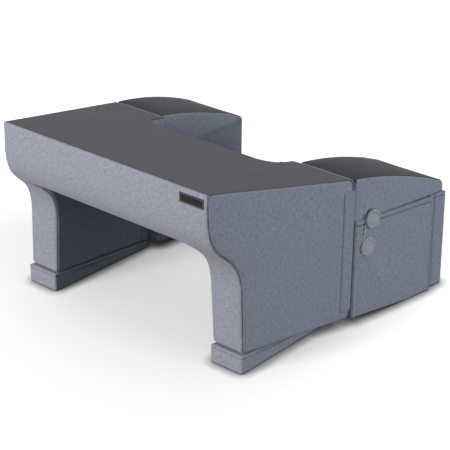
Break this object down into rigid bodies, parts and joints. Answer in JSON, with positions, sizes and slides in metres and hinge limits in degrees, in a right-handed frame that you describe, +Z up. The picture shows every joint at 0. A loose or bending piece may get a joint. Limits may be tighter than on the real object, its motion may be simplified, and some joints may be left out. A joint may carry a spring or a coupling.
{
  "type": "lap desk",
  "caption": "Foam lap desk in a fitted fabric cover: a sloped top on a kneehole bridge with wedge feet, and armrest wings with outside pockets that swing on fabric hinges.",
  "frame": {"origin": "on the floor, under the middle of the overall box of desk and wings", "axes": "+Z up, +Y towards the person who sits at the desk, +X to the side of the label, which is that person's left"},
  "size_m": [0.7494, 0.6503, 0.399],
  "materials": {
    "cover_fabric": "heathered blue-grey linen-look weave, lined",
    "top_leatherette": "matt charcoal leatherette with a fine grain",
    "foam": "open-cell polyurethane foam",
    "stiffener_board": "bare fibreboard",
    "hook_and_loop": "black hook-and-loop tape",
    "label_weave": "black woven label, left blank"
  },
  "bodies": {
    "desk": {"top_sheet": "top_leatherette", "top_board": "stiffener_board", "bridge_foam": "foam", "front_panel": "cover_fabric", "underside_panel": "cover_fabric", "rear_panel": "cover_fabric", "label": "label_weave", "side_panel_right": "cover_fabric", "side_panel_left": "cover_fabric", "leg_inner_panel_right": "cover_fabric", "leg_inner_panel_left": "cover_fabric", "leg_rear_panel_right": "cover_fabric", "leg_rear_panel_left": "cover_fabric", "leg_base_panel_right": "cover_fabric", "leg_base_panel_left": "cover_fabric", "leg_foam_right": "foam", "leg_foam_left": "foam", "foot_wedge_right": "cover_fabric", "foot_wedge_left": "cover_fabric", "foot_fastener_right": "hook_and_loop", "foot_fastener_left": "hook_and_loop", "hinge_flap_right": "cover_fabric", "hinge_flap_left": "cover_fabric", "hinge_fastener_right": "hook_and_loop", "hinge_fastener_left": "hook_and_loop"},
    "wing_right": {"wing_top_sheet_right": "top_leatherette", "wing_outer_panel_right": "cover_fabric", "wing_inner_panel_right": "cover_fabric", "wing_front_panel_right": "cover_fabric", "wing_rear_panel_right": "cover_fabric", "wing_base_panel_right": "cover_fabric", "wing_foam_right": "foam", "pocket_panel_right": "cover_fabric", "pocket_side_strip_right": "cover_fabric", "pocket_hem_right": "cover_fabric", "pocket_gusset_right": "cover_fabric", "pocket_base_strip_right": "cover_fabric", "pocket_button_upper_right": "cover_fabric", "pocket_button_lower_right": "cover_fabric", "pocket_strap_right": "cover_fabric"},
    "wing_left": {"wing_top_sheet_left": "top_leatherette", "wing_outer_panel_left": "cover_fabric", "wing_inner_panel_left": "cover_fabric", "wing_front_panel_left": "cover_fabric", "wing_rear_panel_left": "cover_fabric", "wing_base_panel_left": "cover_fabric", "wing_foam_left": "foam", "pocket_panel_left": "cover_fabric", "pocket_side_strip_left": "cover_fabric", "pocket_hem_left": "cover_fabric", "pocket_gusset_left": "cover_fabric", "pocket_base_strip_left": "cover_fabric", "pocket_button_upper_left": "cover_fabric", "pocket_button_lower_left": "cover_fabric", "pocket_strap_left": "cover_fabric"}
  },
  "joints": [
    {"name": "wing_right_hinge", "type": "hinge", "parent": "desk", "child": "wing_right", "pos_m": [0.344, 0.047, 0.15], "axis": [0, -0.0396, -0.9992], "range_deg": [0, 90]},
    {"name": "wing_left_hinge", "type": "hinge", "parent": "desk", "child": "wing_left", "pos_m": [-0.344, 0.047, 0.15], "axis": [0, 0.0396, 0.9992], "range_deg": [0, 90]}
  ]
}
